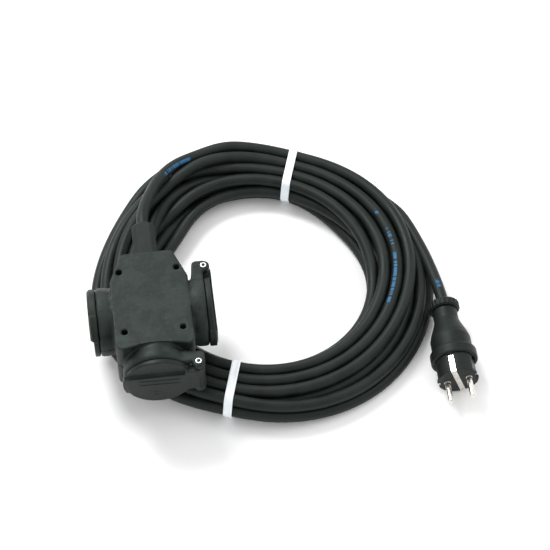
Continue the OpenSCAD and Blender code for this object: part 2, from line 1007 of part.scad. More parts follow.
module plug_cord_clamp() {
  color(zinc)
    at_plug()
      difference() {
        intersection() {
          ring_of(9, cable_d / 2, -55, -49);
          translate([-20, 0.2, -60])
            cube([40, 20, 20]);
        }
        for (s = [-1, 1])
          translate([s * 7.2, -6, -52])
            rotate([-90, 0, 0])
              cylinder(r = 1, h = 20);
      }
}

module plug_clamp_screws() {
  color(zinc)
    at_plug()
      for (s = [-1, 1])
        translate([s * 7.2, -4.6, -52])
          rotate([-90, 0, 0])
            cylinder(r = 1, h = 10.4);
}

module plug_gland_nut() {
  ribs = 24;
  color(rubber)
    at_plug()
      difference() {
        union() {
          rotate_extrude()
            polygon([
              [0, -nut_front], [nut_d / 2 - 1.6, -nut_front], [nut_d / 2 - 0.6, -nut_front - 1],
              [nut_d / 2 - 0.6, -nut_back + 1], [nut_d / 2 - 1.6, -nut_back], [0, -nut_back]
            ]);
          for (i = [0:ribs - 1])
            rotate([0, 0, 360 * i / ribs])
              translate([nut_d / 2 - 1.6, -0.7, -nut_back + 1])
                cube([1.6, 1.4, nut_back - nut_front - 2]);
        }
        translate([0, 0, -nut_back + 1])
          cylinder(r = 9.5, h = 20);
        translate([0, 0, -nut_back - 1])
          cylinder(d = cable_d, h = 20);
      }
}

module plug_gland_seal() {
  color([0.08, 0.08, 0.08])
    at_plug()
      ring_of(8.5, cable_d / 2, -nut_back + 1, -nut_back + 4);
}

module plug_cable() {
  color(jacket)
    at_plug()
      translate([0, 0, -nut_back])
        cylinder(d = cable_d, h = nut_back - plug_sheath);
}

// ---------- the parts ----------

housing_front();
housing_back();
housing_screws();
cable_boot();
coupler_cable();
cord_clamp();
clamp_screws();
socket_insert(RIGHT);  // socket_right
socket_insert(LEFT);  // socket_left
socket_insert(END);  // socket_end
contact_sleeves();
line_bar();
neutral_bar();
earth_bar();
earth_clip(RIGHT);  // earth_clip_right
earth_clip(LEFT);  // earth_clip_left
earth_clip(END);  // earth_clip_end
terminal_blocks();
terminal_screws();
core_brown();
core_blue();
core_earth();
lid(RIGHT);  // lid_right
lid(LEFT);  // lid_left
lid(END);  // lid_end
seal(RIGHT);  // seal_right
seal(LEFT);  // seal_left
seal(END);  // seal_end
hinge_pin(RIGHT);  // hinge_pin_right
hinge_pin(LEFT);  // hinge_pin_left
hinge_pin(END);  // hinge_pin_end
hinge_spring(RIGHT);  // hinge_spring_right
hinge_spring(LEFT);  // hinge_spring_left
hinge_spring(END);  // hinge_spring_end
cord_lead();
cord_coil();
cord_tail();
cable_tie(tie_angle[0], 1);  // cable_tie_top
cable_tie(tie_angle[1], -1);  // cable_tie_bottom
plug_body();
plug_insert();
plug_pin_line();
plug_pin_neutral();
plug_earth_strap();
plug_gland_nut();
plug_gland_seal();
plug_cord_clamp();
plug_clamp_screws();
plug_terminal_screws();
plug_core_brown();
plug_core_blue();
plug_core_earth();
plug_cable();
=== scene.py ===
import json
import math

import bpy
import numpy as np
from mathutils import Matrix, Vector


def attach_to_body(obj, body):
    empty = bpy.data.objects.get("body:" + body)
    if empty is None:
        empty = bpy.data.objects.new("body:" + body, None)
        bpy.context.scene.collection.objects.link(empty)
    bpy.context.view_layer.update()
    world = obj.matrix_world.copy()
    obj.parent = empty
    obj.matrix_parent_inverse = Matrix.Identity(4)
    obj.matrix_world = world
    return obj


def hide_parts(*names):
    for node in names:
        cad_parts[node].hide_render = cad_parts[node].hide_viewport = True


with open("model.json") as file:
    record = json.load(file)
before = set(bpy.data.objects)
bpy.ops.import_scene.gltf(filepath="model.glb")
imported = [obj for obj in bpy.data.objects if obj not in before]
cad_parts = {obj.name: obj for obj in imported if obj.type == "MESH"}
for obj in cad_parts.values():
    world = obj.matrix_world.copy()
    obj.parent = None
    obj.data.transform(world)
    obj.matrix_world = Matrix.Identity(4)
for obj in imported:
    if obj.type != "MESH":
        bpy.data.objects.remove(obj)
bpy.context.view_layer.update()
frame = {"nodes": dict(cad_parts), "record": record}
MM = 0.001

# ---------- sizes shared with the model, in metres ----------

CABLE_D = 10.4 * MM
FLOOR_Z = -30 * MM
PLATE_Z = 56 * MM

# ---------- camera ----------


def make_camera():
    azimuth, elevation, distance = math.radians(-7.0), math.radians(56.0), 1.794
    target = Vector((0.1118, 0.0588, -0.015))
    back = Vector((math.sin(azimuth) * math.cos(elevation),
                   -math.cos(azimuth) * math.cos(elevation), math.sin(elevation)))
    data = bpy.data.cameras.new("camera")
    data.lens = 132.9
    data.sensor_width = 36
    data.clip_end = 20
    camera = bpy.data.objects.new("camera", data)
    camera.location = target + back * distance
    camera.rotation_mode = "QUATERNION"
    camera.rotation_quaternion = (-back).to_track_quat("-Z", "Y")
    bpy.context.scene.collection.objects.link(camera)
    bpy.context.scene.camera = camera


make_camera()

# ---------- the cord's path ----------

COIL_AT = (0.097, 0.052)
COIL_Z = -0.015
START_ANGLE = 115.0         # ring angle of station 0, in degrees; the cord runs clockwise from there
STATIONS = 72               # per turn
TURNS = 13
TOP_TIE = 9                 # stations of the two ties
LOW_TIE = 45
LEAD_JOINS = 3              # first station that the cord passes after the lead
LEFT_SIDE = 59              # the station on the left, where the strands spread
COIL_END = 13               # the last turn's stations after its 13 whole ones
SETTLE_ROUNDS = 500         # how often the strands push each other apart
ROW = 0.866 * CABLE_D       # height of a row of strands that lies in the grooves of the row under it

# The coil's middle line: ring angle in degrees, distance from the coil's centre in millimetres
RING = [(-180, 118), (-160, 116), (-140, 112), (-120, 109.5), (-100, 110.5), (-80, 113),
        (-60, 116), (-40, 118.5), (-20, 120.5), (0, 122), (20, 119.5), (40, 117.5), (60, 119.5),
        (80, 122.5), (100, 124), (120, 123), (140, 115.5), (160, 114.5), (180, 118.5)]
# Places in a tied bundle, as steps of one cable across and rows up
LEAD_PLACE = (19.5, 9)      # where the lead joins the coil, in millimetres
SLOTS = {
    "B0": (-1.5, -1), "B1": (-0.5, -1), "B2": (0.5, -1), "B3": (1.5, -1), "B4": (2.5, -1),
    "M0": (-2, 0), "M1": (-1, 0), "M2": (0, 0), "M3": (1, 0), "M4": (2, 0),
    "T0": (-1.5, 1), "T1": (-0.5, 1), "T2": (0.5, 1), "T3": (1.5, 1),
}
# The place of each turn at the upper tie and at the lower one
AT_TOP = ["T3", "T2", "B4", "M3", "T1", "M2", "B3", "B2", "M1", "T0", "M0", "B0", "B1", "M4"]
AT_LOW = ["T2", "T1", "M4", "T3", "T0", "M3", "B3", "B2", "M2", "M0", "M1", "B0", "B1"]
# Where those places spread to: (out from the middle line, up), millimetres. On the right the upper
# strands slide inward over the others as they come down.
RIGHT = {
    "B0": (-23, -9.8), "B1": (-12, -9.8), "B2": (1, -9.8), "B3": (14.5, -9.8), "B4": (31.5, -9.8),
    "M0": (-19.5, 0.5), "M1": (-7, 0), "M2": (5.5, 0), "M3": (19, 0.4),
    "T0": (-17, 9.8), "T1": (-2.8, 10), "T2": (10.5, 9.6), "T3": (23.5, 7),
}
RIGHT_LOW = {
    "B0": (-20, -9.8), "B1": (-9.5, -9.8), "B2": (1, -9.8), "B3": (13.5, -9.8), "B4": (27, -9.8),
    "M0": (-8.5, 0), "M1": (2, 0), "M2": (12, 0), "M3": (22, -0.5),
    "T0": (-19, -0.3), "T1": (-14, 9), "T2": (-3.5, 9.8), "T3": (7, 9.8),
}
TAIL_PLACE = (24.5, -0.3)   # where the cord's last turn leaves the coil
LEFT = {
    "B0": (-18, -9.8), "B1": (-7, -9.8), "B2": (4, -9.8), "B3": (15, -9.8), "M4": (28, -9.5),
    "M0": (-22, -2), "M1": (-12, 0), "M2": (-2, 0), "M3": (9, 0),
    "T0": (-16, 8), "T1": (-5, 9), "T2": (6, 9), "T3": (17, 3),
}
# Stations on the right, the table that holds there and how far it is stretched
FANS = [(17, RIGHT, 1.0), (26, RIGHT_LOW, 1.0), (33, RIGHT_LOW, 1.02)]
# The cord's free ends, in millimetres: the lead from the boot and the tail to the plug
LEAD_ROUTE = [(0, 95, 28), (0, 98.5, 28), (0, 102, 28), (0.9, 110, 27.2), (3.5, 119, 25),
              (7, 129, 21.6), (11.5, 140.5, 17.6), (17, 152.5, 13.6), (24.6, 164.4, 9.8),
              (34.2, 174.6, 6), (45, 182, 2.8), (56, 187, 0)]
# Printed marks on the jacket: from and to (millimetres), and degrees round from its side to its top
PRINTS = [((22, 161, 11), (47, 183, 2), 45), ((214, 106, -5.7), (203, 2, -5.5), 60),
          ((252, 31, -12), (253, 15, -9.8), 80)]
TAIL_ROUTE = [(224, 123, -16.8), (232.1, 111.5, -16.6), (237.2, 98, -16.2), (240.7, 86, -15.8),
              (244, 74, -15.3), (247, 61, -14.8), (249.5, 46.5, -13.8), (251.2, 34, -12.3),
              (252.4, 23, -10.7), (253, 14, -9.75), (253, 10.5, -9.75), (253, 7, -9.75)]


def slot_place(name):
    across, up = SLOTS[name]
    return np.array([across * CABLE_D, up * ROW])


def first_guess():
    """The (out, up) place of every station of the coil, before the strands push each other apart."""
    keys, values = [LEAD_JOINS], [np.array(LEAD_PLACE) * MM]
    for turn in range(TURNS + 1):
        keys.append(turn * STATIONS + TOP_TIE)
        values.append(slot_place(AT_TOP[turn]))
        if turn < TURNS:
            for station, table, spread in FANS:
                keys.append(turn * STATIONS + station)
                values.append(np.array(table[AT_TOP[turn]]) * (spread * MM, MM))
            keys.append(turn * STATIONS + LOW_TIE)
            values.append(slot_place(AT_LOW[turn]))
            keys.append(turn * STATIONS + LEFT_SIDE)
            values.append(np.array(LEFT[AT_LOW[turn]]) * MM)
    count = TURNS * STATIONS + COIL_END
    keys.append(count)
    values.append(np.array(TAIL_PLACE) * MM)
    place = np.zeros((count, 2))
    for i in range(count):
        j = int(np.searchsorted(keys, i, side="right")) - 1
        if j < 0:
            place[i] = values[0]
        elif j >= len(keys) - 1:
            place[i] = values[-1]
        else:
            t = (i - keys[j]) / (keys[j + 1] - keys[j])
            t = t * t * (3 - 2 * t)
            place[i] = values[j] + (values[j + 1] - values[j]) * t
    return place


def settle(place):
    """Keeps the strands of a station a cable's thickness apart, above the floor and smooth along the cord."""
    count, rows = len(place), TURNS + 1
    lowest = FLOOR_Z + CABLE_D / 2 - COIL_Z
    target = place.copy()
    present = np.arange(rows * STATIONS).reshape(rows, STATIONS) < count
    pinned = np.zeros(count)
    for turn in range(rows):
        for tie in (TOP_TIE, LOW_TIE):
            for near, hold in ((0, 0.9), (-1, 0.5), (1, 0.5)):
                at = turn * STATIONS + tie + near
                if at < count:
                    pinned[at] = hold
    for _ in range(SETTLE_ROUNDS):
        place[1:-1] = 0.5 * place[1:-1] + 0.25 * (place[:-2] + place[2:])
        place += 0.02 * (target - place)
        place[:, 1] -= 0.02 * MM
        for _ in range(2):
            grid = np.full((rows * STATIONS, 2), 9.0)
            grid[:count] = place
            grid = grid.reshape(rows, STATIONS, 2)
            gap = grid[:, None] - grid[None, :]
            dist = np.linalg.norm(gap, axis=3) + 1e-9
            push = np.clip(1.01 * CABLE_D - dist, 0, None)
            push[np.arange(rows), np.arange(rows)] = 0
            push *= present[:, None] & present[None, :]
            move = (gap / dist[..., None] * push[..., None]).sum(1) * 0.35
            place += move.reshape(-1, 2)[:count]
            place[:, 1] = np.maximum(place[:, 1], lowest)
        place += pinned[:, None] * (target - place) * 0.5
    return place


def ring_radius(angle):
    """The coil's mean radius at a ring angle in degrees, smooth through the values of RING."""
    a, r = np.array(RING, float).T
    a = np.r_[a[:-1] - 360, a[:-1], a + 360]
    r = np.r_[r[:-1], r[:-1], r]
    angle = (angle + 180) % 360 - 180
    near = np.exp(-((angle - a) / 18.0) ** 2)
    return float((near * r).sum() / near.sum()) * MM


def ring_point(i, out, up):
    degrees = START_ANGLE - 360 * i / STATIONS
    angle, radius = math.radians(degrees), ring_radius(degrees) + out
    return (COIL_AT[0] + radius * math.cos(angle), COIL_AT[1] + radius * math.sin(angle), COIL_Z + up)


def curve_through(points, step):
    """A smooth curve through the points, as points about step apart."""
    p = np.array(points, float)
    ends = np.vstack([2 * p[0] - p[1], p, 2 * p[-1] - p[-2]])
    out = []
    for i in range(len(p) - 1):
        a, b, c, d = ends[i:i + 4]
        n = max(2, round(float(np.linalg.norm(c - b)) / step))
        for t in np.arange(n) / n:
            out.append(0.5 * (2 * b + (c - a) * t + (2 * a - 5 * b + 4 * c - d) * t * t
                              + (3 * b - a - 3 * c + d) * t ** 3))
    out.append(p[-1])
    return np.array(out)


def cord_path():
    place = settle(first_guess())
    coil = [ring_point(i, *place[i]) for i in range(len(place))]
    lead = [tuple(c * MM for c in p) for p in LEAD_ROUTE]
    tail = [tuple(c * MM for c in p) for p in TAIL_ROUTE]
    path = curve_through(lead + coil[LEAD_JOINS:] + tail, 5 * MM)
    for _ in range(6):
        path[2:-2] = 0.5 * path[2:-2] + 0.25 * (path[1:-3] + path[3:-1])
    return path, place


# ---------- mesh helpers ----------


def mesh_object(name, verts, faces, smooth=True):
    mesh = bpy.data.meshes.new(name)
    mesh.from_pydata([tuple(v) for v in verts], [], faces)
    mesh.update()
    for polygon in mesh.polygons:
        polygon.use_smooth = smooth
    thing = bpy.data.objects.new(name, mesh)
    bpy.context.scene.collection.objects.link(thing)
    return thing


def point_values(thing, name, values):
    store = thing.data.attributes.new(name, "FLOAT", "POINT")
    store.data.foreach_set("value", np.asarray(values, np.float32))


def tube_mesh(name, path, radius, sides=18):
    """A closed tube along the path; it stores how far along it and how far round it each vertex is."""
    path = np.asarray(path)
    along = np.r_[0, np.cumsum(np.linalg.norm(np.diff(path, axis=0), axis=1))]
    tangent = np.gradient(path, axis=0)
    tangent /= np.linalg.norm(tangent, axis=1)[:, None]
    side = np.cross(tangent, (0, 0, 1))
    side /= np.linalg.norm(side, axis=1)[:, None]
    up = np.cross(side, tangent)
    turn = 2 * np.pi * np.arange(sides) / sides
    verts = (path[:, None] + radius * (np.cos(turn)[None, :, None] * side[:, None]
                                       + np.sin(turn)[None, :, None] * up[:, None])).reshape(-1, 3)
    faces = []
    for i in range(len(path) - 1):
        for k in range(sides):
            n = (k + 1) % sides
            faces.append((i * sides + k, i * sides + n, (i + 1) * sides + n, (i + 1) * sides + k))
    faces.append(tuple(range(sides - 1, -1, -1)))
    last = (len(path) - 1) * sides
    faces.append(tuple(range(last, last + sides)))
    thing = mesh_object(name, verts, faces)
    point_values(thing, "along", np.repeat(along, sides))
    point_values(thing, "across", np.tile(np.cos(turn), len(path)))
    point_values(thing, "above", np.tile(np.sin(turn), len(path)))
    return thing, float(along[-1])


def print_mask(path, sides=18):
    """1 for the vertices of a tube along the path that lie under a printed mark, else 0."""
    mask = np.zeros((len(path), sides))
    for start, end, around in PRINTS:
        first, last = (int(np.argmin(np.linalg.norm(path - np.array(p) * MM, axis=1))) for p in (start, end))
        column = int(around * sides / 360)
        if first < last < first + 60:
            mask[first:last + 1, column:column + 2] = 1
    return mask.ravel()


def soften(thing, voxel, rounds, factor=0.5):
    """Gives moulded rubber its soft edges."""
    weld = thing.modifiers.new("weld", "WELD")
    weld.merge_threshold = 0.00001
    remesh = thing.modifiers.new("remesh", "REMESH")
    remesh.mode = "VOXEL"
    remesh.voxel_size = voxel
    remesh.use_smooth_shade = True
    smooth = thing.modifiers.new("smooth", "SMOOTH")
    smooth.factor = factor
    smooth.iterations = rounds


def ease_edges(thing, width, segments=2):
    """Gives a hard part a small bevel and smooth shading between its edges."""
    weld = thing.modifiers.new("weld", "WELD")
    weld.merge_threshold = 0.00001
    bevel = thing.modifiers.new("bevel", "BEVEL")
    bevel.width = width
    bevel.segments = segments
    bevel.limit_method = "ANGLE"
    bevel.angle_limit = math.radians(35)
    bevel.use_clamp_overlap = True
    for polygon in thing.data.polygons:
        polygon.use_smooth = True
    normals = thing.modifiers.new("normals", "WEIGHTED_NORMAL")
    normals.keep_sharp = True


# ---------- materials ----------

SHEEN = (0.86, 1.0, 0.95, 1)    # the tint of light off the rubber


class Nodes:
    """Builds one material's nodes."""

    def __init__(self, name, **shader):
        self.material = bpy.data.materials.new(name)
        self.material.use_nodes = True
        self.tree = self.material.node_tree
        self.shader = self.tree.nodes["Principled BSDF"]
        for socket, value in shader.items():
            self.shader.inputs[socket].default_value = value
        self.where = self.tree.nodes.new("ShaderNodeTexCoord").outputs["Object"]

    def add(self, kind, **settings):
        node = self.tree.nodes.new("ShaderNode" + kind)
        for key, value in settings.items():
            setattr(node, key, value)
        return node

    def link(self, a, b):
        self.tree.links.new(a, b)

    def scaled(self, stretch):
        node = self.add("Mapping")
        node.inputs["Scale"].default_value = stretch
        self.link(self.where, node.inputs["Vector"])
        return node.outputs["Vector"]

    def noise(self, scale, detail=4.0, rough=0.55, stretch=(1, 1, 1)):
        node = self.add("TexNoise")
        node.inputs["Scale"].default_value = scale
        node.inputs["Detail"].default_value = detail
        node.inputs["Roughness"].default_value = rough
        self.link(self.scaled(stretch), node.inputs["Vector"])
        return node.outputs["Fac"]

    def spots(self, scale):
        node = self.add("TexVoronoi")
        node.inputs["Scale"].default_value = scale
        self.link(self.where, node.inputs["Vector"])
        return node.outputs["Distance"]

    def range(self, value, a, b, low, high):
        node = self.add("MapRange", interpolation_type="SMOOTHSTEP")
        for socket, number in zip(node.inputs[1:5], (a, b, low, high)):
            socket.default_value = number
        self.link(value, node.inputs[0])
        return node.outputs[0]

    def math(self, operation, a, b=None):
        node = self.add("Math", operation=operation)
        for socket, value in zip(node.inputs, (a, b)):
            if value is None:
                continue
            if isinstance(value, (int, float)):
                socket.default_value = value
            else:
                self.link(value, socket)
        return node.outputs[0]

    def mix(self, factor, a, b):
        node = self.add("Mix", data_type="RGBA")
        self.link(factor, node.inputs["Factor"])
        for socket, value in zip((node.inputs[6], node.inputs[7]), (a, b)):
            if isinstance(value, tuple):
                socket.default_value = (*value, 1)
            else:
                self.link(value, socket)
        return node.outputs[2]

    def attribute(self, name):
        return self.add("Attribute", attribute_name=name).outputs["Fac"]

    def bump(self, height, distance, strength=1.0):
        node = self.add("Bump")
        node.inputs["Distance"].default_value = distance
        node.inputs["Strength"].default_value = strength
        self.link(height, node.inputs["Height"])
        self.link(node.outputs["Normal"], self.shader.inputs["Normal"])

    def colour(self, value):
        self.link(value, self.shader.inputs["Base Color"])

    def rough(self, value):
        self.link(value, self.shader.inputs["Roughness"])


def rubber(name, dark, light, rough=(0.42, 0.6), grain=1500, streaks=0.0, bloom=0.35, cloudy=(0.38, 0.68)):
    """Moulded rubber: cloudy grey bloom, fine grain, faint flow marks and paler worn edges."""
    n = Nodes(name, **{"Specular IOR Level": 0.22, "Specular Tint": SHEEN})
    cloud = n.noise(42, 6, 0.62)
    fine = n.noise(380, 3, 0.6)
    tone = n.mix(n.range(cloud, cloudy[0], cloudy[1], 0.0, 1.0), dark, light)
    if streaks:
        wipes = n.noise(70, 4, 0.65, (0.16, 1, 1))
        tone = n.mix(n.range(wipes, 0.56, 0.72, 0.0, 0.55), tone, tuple(1.7 * c for c in light))
    dust = n.mix(n.range(fine, 0.62, 0.8, 0.0, bloom), tone, tuple(1.9 * c for c in light))
    worn = n.range(n.add("NewGeometry").outputs["Pointiness"], 0.51, 0.6, 0.0, 0.5)
    n.colour(n.mix(worn, dust, tuple(1.7 * c for c in light)))
    n.rough(n.range(n.math("ADD", n.math("MULTIPLY", cloud, 0.6), n.math("MULTIPLY", fine, 0.4)),
                    0.35, 0.68, rough[0], rough[1]))
    height = n.math("ADD", n.noise(grain, 2, 0.5), n.math("MULTIPLY", n.noise(120, 3, 0.5), 1.6))
    if streaks:
        height = n.math("ADD", height, n.math("MULTIPLY", n.noise(160, 3, 0.6, (0.12, 1, 1)), streaks))
    n.bump(height, 0.00025, 0.5)
    return n.material


def cable_rubber():
    """The cable's jacket: satin rubber with drawn lines along it, and a row of plain blue marks."""
    n = Nodes("cable_jacket", **{"Specular IOR Level": 0.24, "Specular Tint": SHEEN})
    along, across, above = n.attribute("along"), n.attribute("across"), n.attribute("above")
    cloud = n.noise(55, 5, 0.6)
    fine = n.noise(600, 3, 0.6)
    tone = n.mix(n.range(cloud, 0.35, 0.7, 0.0, 1.0), (0.006, 0.0078, 0.0072), (0.0125, 0.0152, 0.014))
    tone = n.mix(n.range(fine, 0.64, 0.8, 0.0, 0.3), tone, (0.03, 0.034, 0.03))
    cells = n.add("TexWhiteNoise", noise_dimensions="1D")
    n.link(n.math("FLOOR", n.math("MULTIPLY", along, 850.0)), cells.inputs["W"])
    words = n.add("TexWhiteNoise", noise_dimensions="1D")
    n.link(n.math("FLOOR", n.math("MULTIPLY", along, 110.0)), words.inputs["W"])
    marks = n.math("MULTIPLY", n.math("GREATER_THAN", cells.outputs["Value"], 0.25),
                   n.math("GREATER_THAN", words.outputs["Value"], 0.2))
    marks = n.math("MULTIPLY", marks, n.math("GREATER_THAN", n.attribute("print"), 0.6))
    n.colour(n.mix(n.math("MULTIPLY", marks, n.range(fine, 0.3, 0.6, 0.55, 0.95)), tone, (0.02, 0.125, 0.27)))
    n.rough(n.range(cloud, 0.3, 0.7, 0.42, 0.58))
    lines = n.add("TexNoise", noise_dimensions="3D")
    lines.inputs["Scale"].default_value = 9
    where = n.add("CombineXYZ")
    n.link(n.math("MULTIPLY", along, 1.5), where.inputs["X"])
    n.link(across, where.inputs["Y"])
    n.link(above, where.inputs["Z"])
    n.link(where.outputs[0], lines.inputs["Vector"])
    n.bump(n.math("ADD", n.math("MULTIPLY", lines.outputs["Fac"], 2.0), n.noise(1400, 2, 0.5)), 0.0002, 0.35)
    return n.material


def metal(name, base, rough, tint):
    n = Nodes(name, Metallic=1.0)
    cloud = n.noise(220, 4, 0.6)
    n.colour(n.mix(n.range(cloud, 0.35, 0.7, 0.0, 1.0), base, tint))
    n.rough(n.range(n.noise(900, 3, 0.6), 0.3, 0.7, rough * 0.75, rough * 1.3))
    n.bump(n.noise(1500, 2, 0.5, (1, 0.2, 1)), 0.00008, 0.35)
    return n.material


def plastic(name, base, light, rough, glow=0.0, shine=0.5):
    n = Nodes(name, **{"Specular IOR Level": shine})
    if shine < 0.5:
        n.shader.inputs["Specular Tint"].default_value = SHEEN
    if glow:
        n.shader.inputs["Subsurface Weight"].default_value = glow
        n.shader.inputs["Subsurface Scale"].default_value = 0.002
    cloud = n.noise(130, 4, 0.6)
    n.colour(n.mix(n.range(cloud, 0.35, 0.7, 0.0, 1.0), base, light))
    n.rough(n.range(n.noise(700, 3, 0.6), 0.3, 0.7, rough * 0.8, rough * 1.2))
    n.bump(n.noise(1800, 2, 0.5), 0.0001, 0.4)
    return n.material


MATERIALS = {
    "plate_rubber": rubber("plate_rubber", (0.0065, 0.0095, 0.0082), (0.018, 0.0235, 0.021), (0.44, 0.62),
                           grain=1300, streaks=2.2, bloom=0.5, cloudy=(0.43, 0.58)),
    "lid_rubber": rubber("lid_rubber", (0.007, 0.0095, 0.008), (0.015, 0.018, 0.0155), (0.4, 0.58), 1700),
    "boot_rubber": rubber("boot_rubber", (0.007, 0.009, 0.008), (0.0135, 0.016, 0.0145), (0.5, 0.64), 1500),
    "plug_rubber": rubber("plug_rubber", (0.0045, 0.006, 0.005), (0.01, 0.0125, 0.0108), (0.42, 0.56), 1700),
    "seal_rubber": rubber("seal_rubber", (0.006, 0.006, 0.006), (0.012, 0.012, 0.012), (0.5, 0.7), 1500),
    "cable_jacket": cable_rubber(),
    "socket_plastic": plastic("socket_plastic", (0.006, 0.006, 0.006), (0.012, 0.012, 0.012), 0.45, 0, 0.25),
    "insert_plastic": plastic("insert_plastic", (0.005, 0.006, 0.0055), (0.011, 0.013, 0.012), 0.45, 0, 0.24),
    "brass": metal("brass", (0.68, 0.48, 0.19), 0.3, (0.55, 0.36, 0.13)),
    "zinc": metal("zinc", (0.78, 0.79, 0.8), 0.3, (0.62, 0.63, 0.62)),
    "nickel": metal("nickel", (0.8, 0.78, 0.73), 0.24, (0.66, 0.63, 0.57)),
    "nylon": plastic("nylon", (0.86, 0.89, 0.92), (0.78, 0.82, 0.86), 0.38, 0.15),
    "core_brown": plastic("core_brown", (0.16, 0.06, 0.025), (0.2, 0.08, 0.035), 0.35),
    "core_blue": plastic("core_blue", (0.02, 0.1, 0.42), (0.03, 0.13, 0.5), 0.35),
    "core_earth": plastic("core_earth", (0.22, 0.45, 0.04), (0.3, 0.52, 0.05), 0.35),
}


def paint(thing, slot_name):
    thing.data.materials.clear()
    thing.data.materials.append(MATERIALS[slot_name])
    for polygon in thing.data.polygons:
        polygon.material_index = 0


def paint_nodes():
    for part in frame["record"]["subparts"]:
        paint(frame["nodes"][part["node"]], part["material_slot"])


paint_nodes()

# ---------- cord ----------

path, places = cord_path()
cable, cable_length = tube_mesh("rubber_cable", path, CABLE_D / 2)
point_values(cable, "print", print_mask(path))
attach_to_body(cable, "root")
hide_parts("cord_lead", "cord_coil", "cord_tail")
paint(cable, "cable_jacket")

TIE_HALF = 3.7 * MM         # half the width of a tie's strap
TIE_T = 1.0 * MM            # its thickness
TIE_GAP = 0.15 * MM         # between the strands and the strap
TIE_STEPS = 120             # points round the strap's loop
HEAD_DROP = 8 * MM          # how far a tie's head sits under the bundle's middle
# The strap's cross-section: (across, as a share of its half width; outward, as a share of its thickness)
TIE_PROFILE = [(-1, 0.0), (-1, 0.75), (-0.86, 1), (-0.55, 1), (-0.5, 0.86), (0.5, 0.86), (0.55, 1), (0.86, 1),
               (1, 0.75), (1, 0.0)]


def hull_outline(centres, radius, sides=40):
    """The loop a strap takes round circles of that radius, as points in the (out, up) plane."""
    turn = 2 * np.pi * np.arange(sides) / sides
    cloud = (centres[:, None] + radius * np.stack([np.cos(turn), np.sin(turn)], 1)[None]).reshape(-1, 2)
    order = sorted(map(tuple, cloud))
    loops = []
    for points in (order, order[::-1]):
        loop = []
        for p in points:
            while len(loop) > 1:
                a, b = loop[-2], loop[-1]
                if (b[0] - a[0]) * (p[1] - a[1]) - (b[1] - a[1]) * (p[0] - a[0]) > 0:
                    break
                loop.pop()
            loop.append(p)
        loops += loop[:-1]
    return np.array(loops)


# A tie's head, in millimetres: (height from its middle, half its width, half its depth) of its four outlines
HEAD_LEVELS = [(-4.4, 3.9, 2.2), (-4.4, 4.4, 2.6), (4.4, 4.4, 2.6), (4.4, 3.9, 2.2)]
# One outline of the head, with cut corners: (depth, width) as shares of the halves
HEAD_OUTLINE = [(-1, -0.9), (-0.7, -1), (0.7, -1), (1, -0.9), (1, 0.9), (0.7, 1), (-0.7, 1), (-1, 0.9)]


def locking_head(place, out, up, side_sign):
    """Corners and faces of a tie's head: a box with cut corners on one side of the bundle."""
    rings, faces = [], []
    for low, half, deep in HEAD_LEVELS:
        level = up + low * MM
        rings.append([place(out + side_sign * (deep + u * deep) * MM, level, v * half * MM)
                      for u, v in HEAD_OUTLINE])
    n = len(HEAD_OUTLINE)
    for i in range(len(rings) - 1):
        for k in range(n):
            faces.append((i * n + k, i * n + (k + 1) % n, (i + 1) * n + (k + 1) % n, (i + 1) * n + k))
    faces += [tuple(range(n - 1, -1, -1)), tuple(range(3 * n, 4 * n))]
    return [q for ring in rings for q in ring], faces


def strap(name, station, stands_for, skew, shift, head):
    """A nylon tie drawn tight round the strands of one station, with its locking head."""
    centres = np.array([places[turn * STATIONS + station] for turn in range(TURNS + 1)
                        if turn * STATIONS + station < len(places)])
    loop = hull_outline(centres, CABLE_D / 2 + TIE_GAP)
    closed = np.vstack([loop, loop[:1]])
    length = np.r_[0, np.cumsum(np.linalg.norm(np.diff(closed, axis=0), axis=1))]
    spots = np.linspace(0, length[-1], TIE_STEPS + 1)[:-1]
    loop = np.stack([np.interp(spots, length, closed[:, k]) for k in (0, 1)], 1)
    ahead = np.roll(loop, -1, 0) - np.roll(loop, 1, 0)
    outward = np.stack([ahead[:, 1], -ahead[:, 0]], 1)
    outward /= np.linalg.norm(outward, axis=1)[:, None]
    degrees = START_ANGLE - 360 * station / STATIONS
    angle = math.radians(degrees)
    out_way = Vector((math.cos(angle), math.sin(angle), 0))
    side_way = Vector((-math.sin(angle), math.cos(angle), 0))
    middle = Vector((COIL_AT[0], COIL_AT[1], COIL_Z)) + out_way * ring_radius(degrees)

    def place(out, up, side):
        return middle + out_way * out + Vector((0, 0, up)) + side_way * (side + shift + skew * out)

    verts, faces, n = [], [], len(TIE_PROFILE)
    for p, o in zip(loop, outward):
        for side, thick in TIE_PROFILE:
            q = p + o * TIE_T * thick
            verts.append(place(q[0], q[1], side * TIE_HALF))
    count = len(loop)
    for i in range(count):
        for k in range(n):
            a, b = i * n + k, i * n + (k + 1) % n
            c, d = ((i + 1) % count) * n + (k + 1) % n, ((i + 1) % count) * n + k
            faces.append((a, b, c, d))
    edge = head * max(head * q for q in loop[:, 0])
    corners, sides = locking_head(place, edge, -HEAD_DROP, head)
    faces += [tuple(len(verts) + k for k in face) for face in sides]
    verts += corners
    tie = mesh_object(name, verts, faces)
    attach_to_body(tie, "root")
    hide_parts(stands_for)
    paint(tie, "nylon")
    return tie


ties = [strap("nylon_tie_top", TOP_TIE, "cable_tie_top", 0.04, 0, 1),
        strap("nylon_tie_bottom", LOW_TIE, "cable_tie_bottom", 0.058, 2.8 * MM, -1)]
[tuple(p) for p in path]

# ---------- coupler ----------

